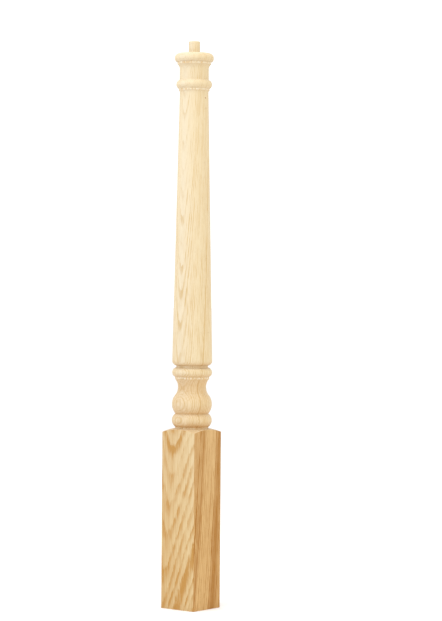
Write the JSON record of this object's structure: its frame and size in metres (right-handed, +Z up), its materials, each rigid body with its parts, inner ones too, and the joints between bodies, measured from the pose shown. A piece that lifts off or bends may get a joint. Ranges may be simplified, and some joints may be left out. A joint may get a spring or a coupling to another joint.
{
  "type": "turned newel post",
  "caption": "Turned wooden newel post: square block at the foot, bead-and-vase turnings, long taper, ringed neck, round cap and a pin for the handrail fitting.",
  "frame": {"origin": "middle of the sawn foot of the block, on the floor", "axes": "+Z up along the turning axis; X and Y square to the flats of the block"},
  "size_m": [0.0826, 0.0826, 1.1176],
  "materials": {
    "raw_oak": "raw red oak, sanded and unfinished, with open pores"
  },
  "bodies": {
    "root": {"newel_post": "raw_oak"}
  },
  "joints": []
}
